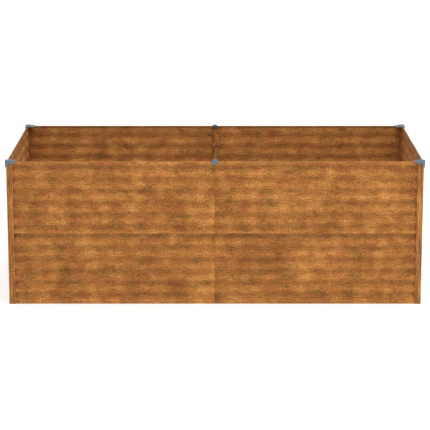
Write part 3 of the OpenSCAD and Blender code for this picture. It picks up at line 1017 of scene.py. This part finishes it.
def at_posts(inward):
    """Places down both flanges of every post, each that far in from the outside face."""
    along = post_leg - stud_edge
    return [at_corner(corner, rim_z) @ flange @ Matrix.Translation((along, inward, -drop))
            for corner in turns for flange in (Matrix.Identity(4), swap_xy)
            for drop in crest_drops]


def at_seams(inward):
    """Places down both flanges of both strips, each that far in from the outside face."""
    stud_x = strip_high.x - strip_flange / 2
    return [wall @ Matrix.Translation((x, post_low.y + inward, rim_z - drop))
            for wall in (Matrix.Identity(4), half_turn) for x in (-stud_x, stud_x)
            for drop in trough_drops]


def reach_in(node):
    """How far in from the posts' outside face the outermost point of a group lies."""
    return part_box(node)[0].y - post_low.y


# The washers on the narrow strips are only as wide as the nuts.
for where, at, washer_size in (("post", at_posts, washer_d), ("seam", at_seams, nut_flats)):
    root = reach_in(where + "_studs")
    nut_seat = reach_in(where + "_nuts")
    stud_length = nut_seat + nut_h + stud_past_nut - root
    join_copies(threaded_rod(stud_d, stud_length), at(root),
                f"weld_studs_{where}s", brown_bolt, where + "_studs")
    join_copies(flat_washer(washer_size, washer_bore, washer_t), at(nut_seat - washer_t),
                f"plain_washers_{where}s", brown_bolt, where + "_washers")
    join_copies(hex_nut(nut_flats, nut_h, nut_bore), at(nut_seat),
                f"hexagon_nuts_{where}s", brown_bolt, where + "_nuts")


# ---------------------------------------------------------------------------------------
# Tie bolts
# Hexagon-head bolts of the same rusted steel, one through each end of a tie bar, with a
# washer under the head and a nut welded behind the strip's web.

tie_bolt_d = 6 * MM
tie_nut_flats = 1.6 * tie_bolt_d
tie_nut_h = 0.8 * tie_bolt_d
tie_nut_bore = tie_bolt_d + 0.2 * MM
tie_head_h = 4 * MM
tie_washer_d = 2 * tie_bolt_d
tie_washer_t = 1 * MM
tie_washer_bore = tie_bolt_d + 0.5 * MM
tie_levels = [(low.z + high.z) / 2 for low, high in
              (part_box("tie_bar_upper"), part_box("tie_bar_lower"))]


def at_ties(inward):
    """Places at both ends of both bars, each that far in from the posts' outside face."""
    return [wall @ Matrix.Translation((0, post_low.y + inward, level))
            for wall in (Matrix.Identity(4), half_turn) for level in tie_levels]


def head_bolt(d, flats, h, reach):
    """A bolt whose shank runs outwards from the origin, with its head on the inside."""
    shank = threaded_rod(d, reach + MM)
    shank.data.transform(Matrix.Translation((0, MM, 0)) @ half_turn)
    head = hexagon(flats, h)
    apply_modifier(head, "BOOLEAN", operation="UNION", object=shank, solver="EXACT")
    bpy.data.objects.remove(shank)
    return head


tie_tip = reach_in("tie_bolts")
tie_seat = reach_in("tie_washers")
head_under = tie_seat + tie_washer_t
join_copies(head_bolt(tie_bolt_d, tie_nut_flats, tie_head_h, head_under - tie_tip),
            at_ties(head_under), "hexagon_bolts_ties", brown_bolt, "tie_bolts")
join_copies(flat_washer(tie_washer_d, tie_washer_bore, tie_washer_t), at_ties(tie_seat),
            "plain_washers_ties", brown_bolt, "tie_washers")
join_copies(hex_nut(tie_nut_flats, tie_nut_h, tie_nut_bore),
            at_ties(reach_in("tie_weld_nuts")), "weld_nuts_ties", brown_bolt,
            "tie_weld_nuts")


# ---------------------------------------------------------------------------------------
# Floor, lights and camera
# A pale studio floor under an even white sky, a large soft light from the front right and
# another above, and the camera 9 m away and 2.4 m up, looking down over the front wall.

floor_size = 80
floor = new_plane((0, 0, cad_low.z), (floor_size, floor_size))
floor.name = "studio_floor"


def painted_floor(name):
    """Matt white floor paint, rolled on: nearly no gloss, a very faint mottle. It gives
    off part of its white, as a lit studio sweep does, so that shadows on it stay faint."""
    material, tree = new_material(name)
    place = add(tree, "ShaderNodeTexCoord").outputs["Object"]
    mottle = add(tree, "ShaderNodeTexNoise", {"Scale": 1 / (400 * MM), "Detail": 3},
                 {"Vector": place})
    colour = add(tree, "ShaderNodeMix",
                 {"data_type": "RGBA", 6: linear("#b2b2b2"), 7: linear("#b7b7b7")},
                 {0: mottle.outputs["Fac"]})
    shader = add(tree, "ShaderNodeBsdfPrincipled",
                 {"Roughness": 0.9, "Emission Color": linear("#ffffff"),
                  "Emission Strength": 0.6}, {"Base Color": colour.outputs[2]})
    add(tree, "ShaderNodeOutputMaterial", links={"Surface": shader.outputs["BSDF"]})
    return material


floor.data.materials.append(painted_floor("painted_floor_matt_white"))

world = bpy.data.worlds.new("studio_sky")
world.use_nodes = True
sky = world.node_tree.nodes["Background"]
sky.inputs["Color"].default_value = linear("#ffffff")
sky.inputs["Strength"].default_value = 1.0
bpy.context.scene.world = world


def area_light(name, place, aim, size, power):
    """A square lamp, sized in metres, that faces the point it is aimed at."""
    light = bpy.data.lights.new(name, "AREA")
    light.shape = "SQUARE"
    light.size = size
    light.energy = power
    lamp = bpy.data.objects.new(name, light)
    lamp.location = place
    lamp.rotation_euler = (Vector(aim) - Vector(place)).to_track_quat("-Z", "Y").to_euler()
    bpy.context.scene.collection.objects.link(lamp)


box_middle = (0, 0, 0.4)
area_light("key_light", (3.0, -6.0, 4.5), box_middle, size=2.5, power=115)
area_light("top_light", (0.8, -0.8, 6.0), box_middle, size=4, power=80)

camera_place = (0, -8.982, 2.360)
camera_pitch = 12.737
focal_length_in_widths = 4.224
camera = bpy.data.objects.new("camera", bpy.data.cameras.new("camera"))
camera.data.sensor_width = 36
camera.data.lens = focal_length_in_widths * camera.data.sensor_width
camera.location = camera_place
camera.rotation_euler = (pi / 2 - radians(camera_pitch), 0, 0)
bpy.context.scene.collection.objects.link(camera)
bpy.context.scene.camera = camera
bpy.context.scene.view_settings.view_transform = "Standard"
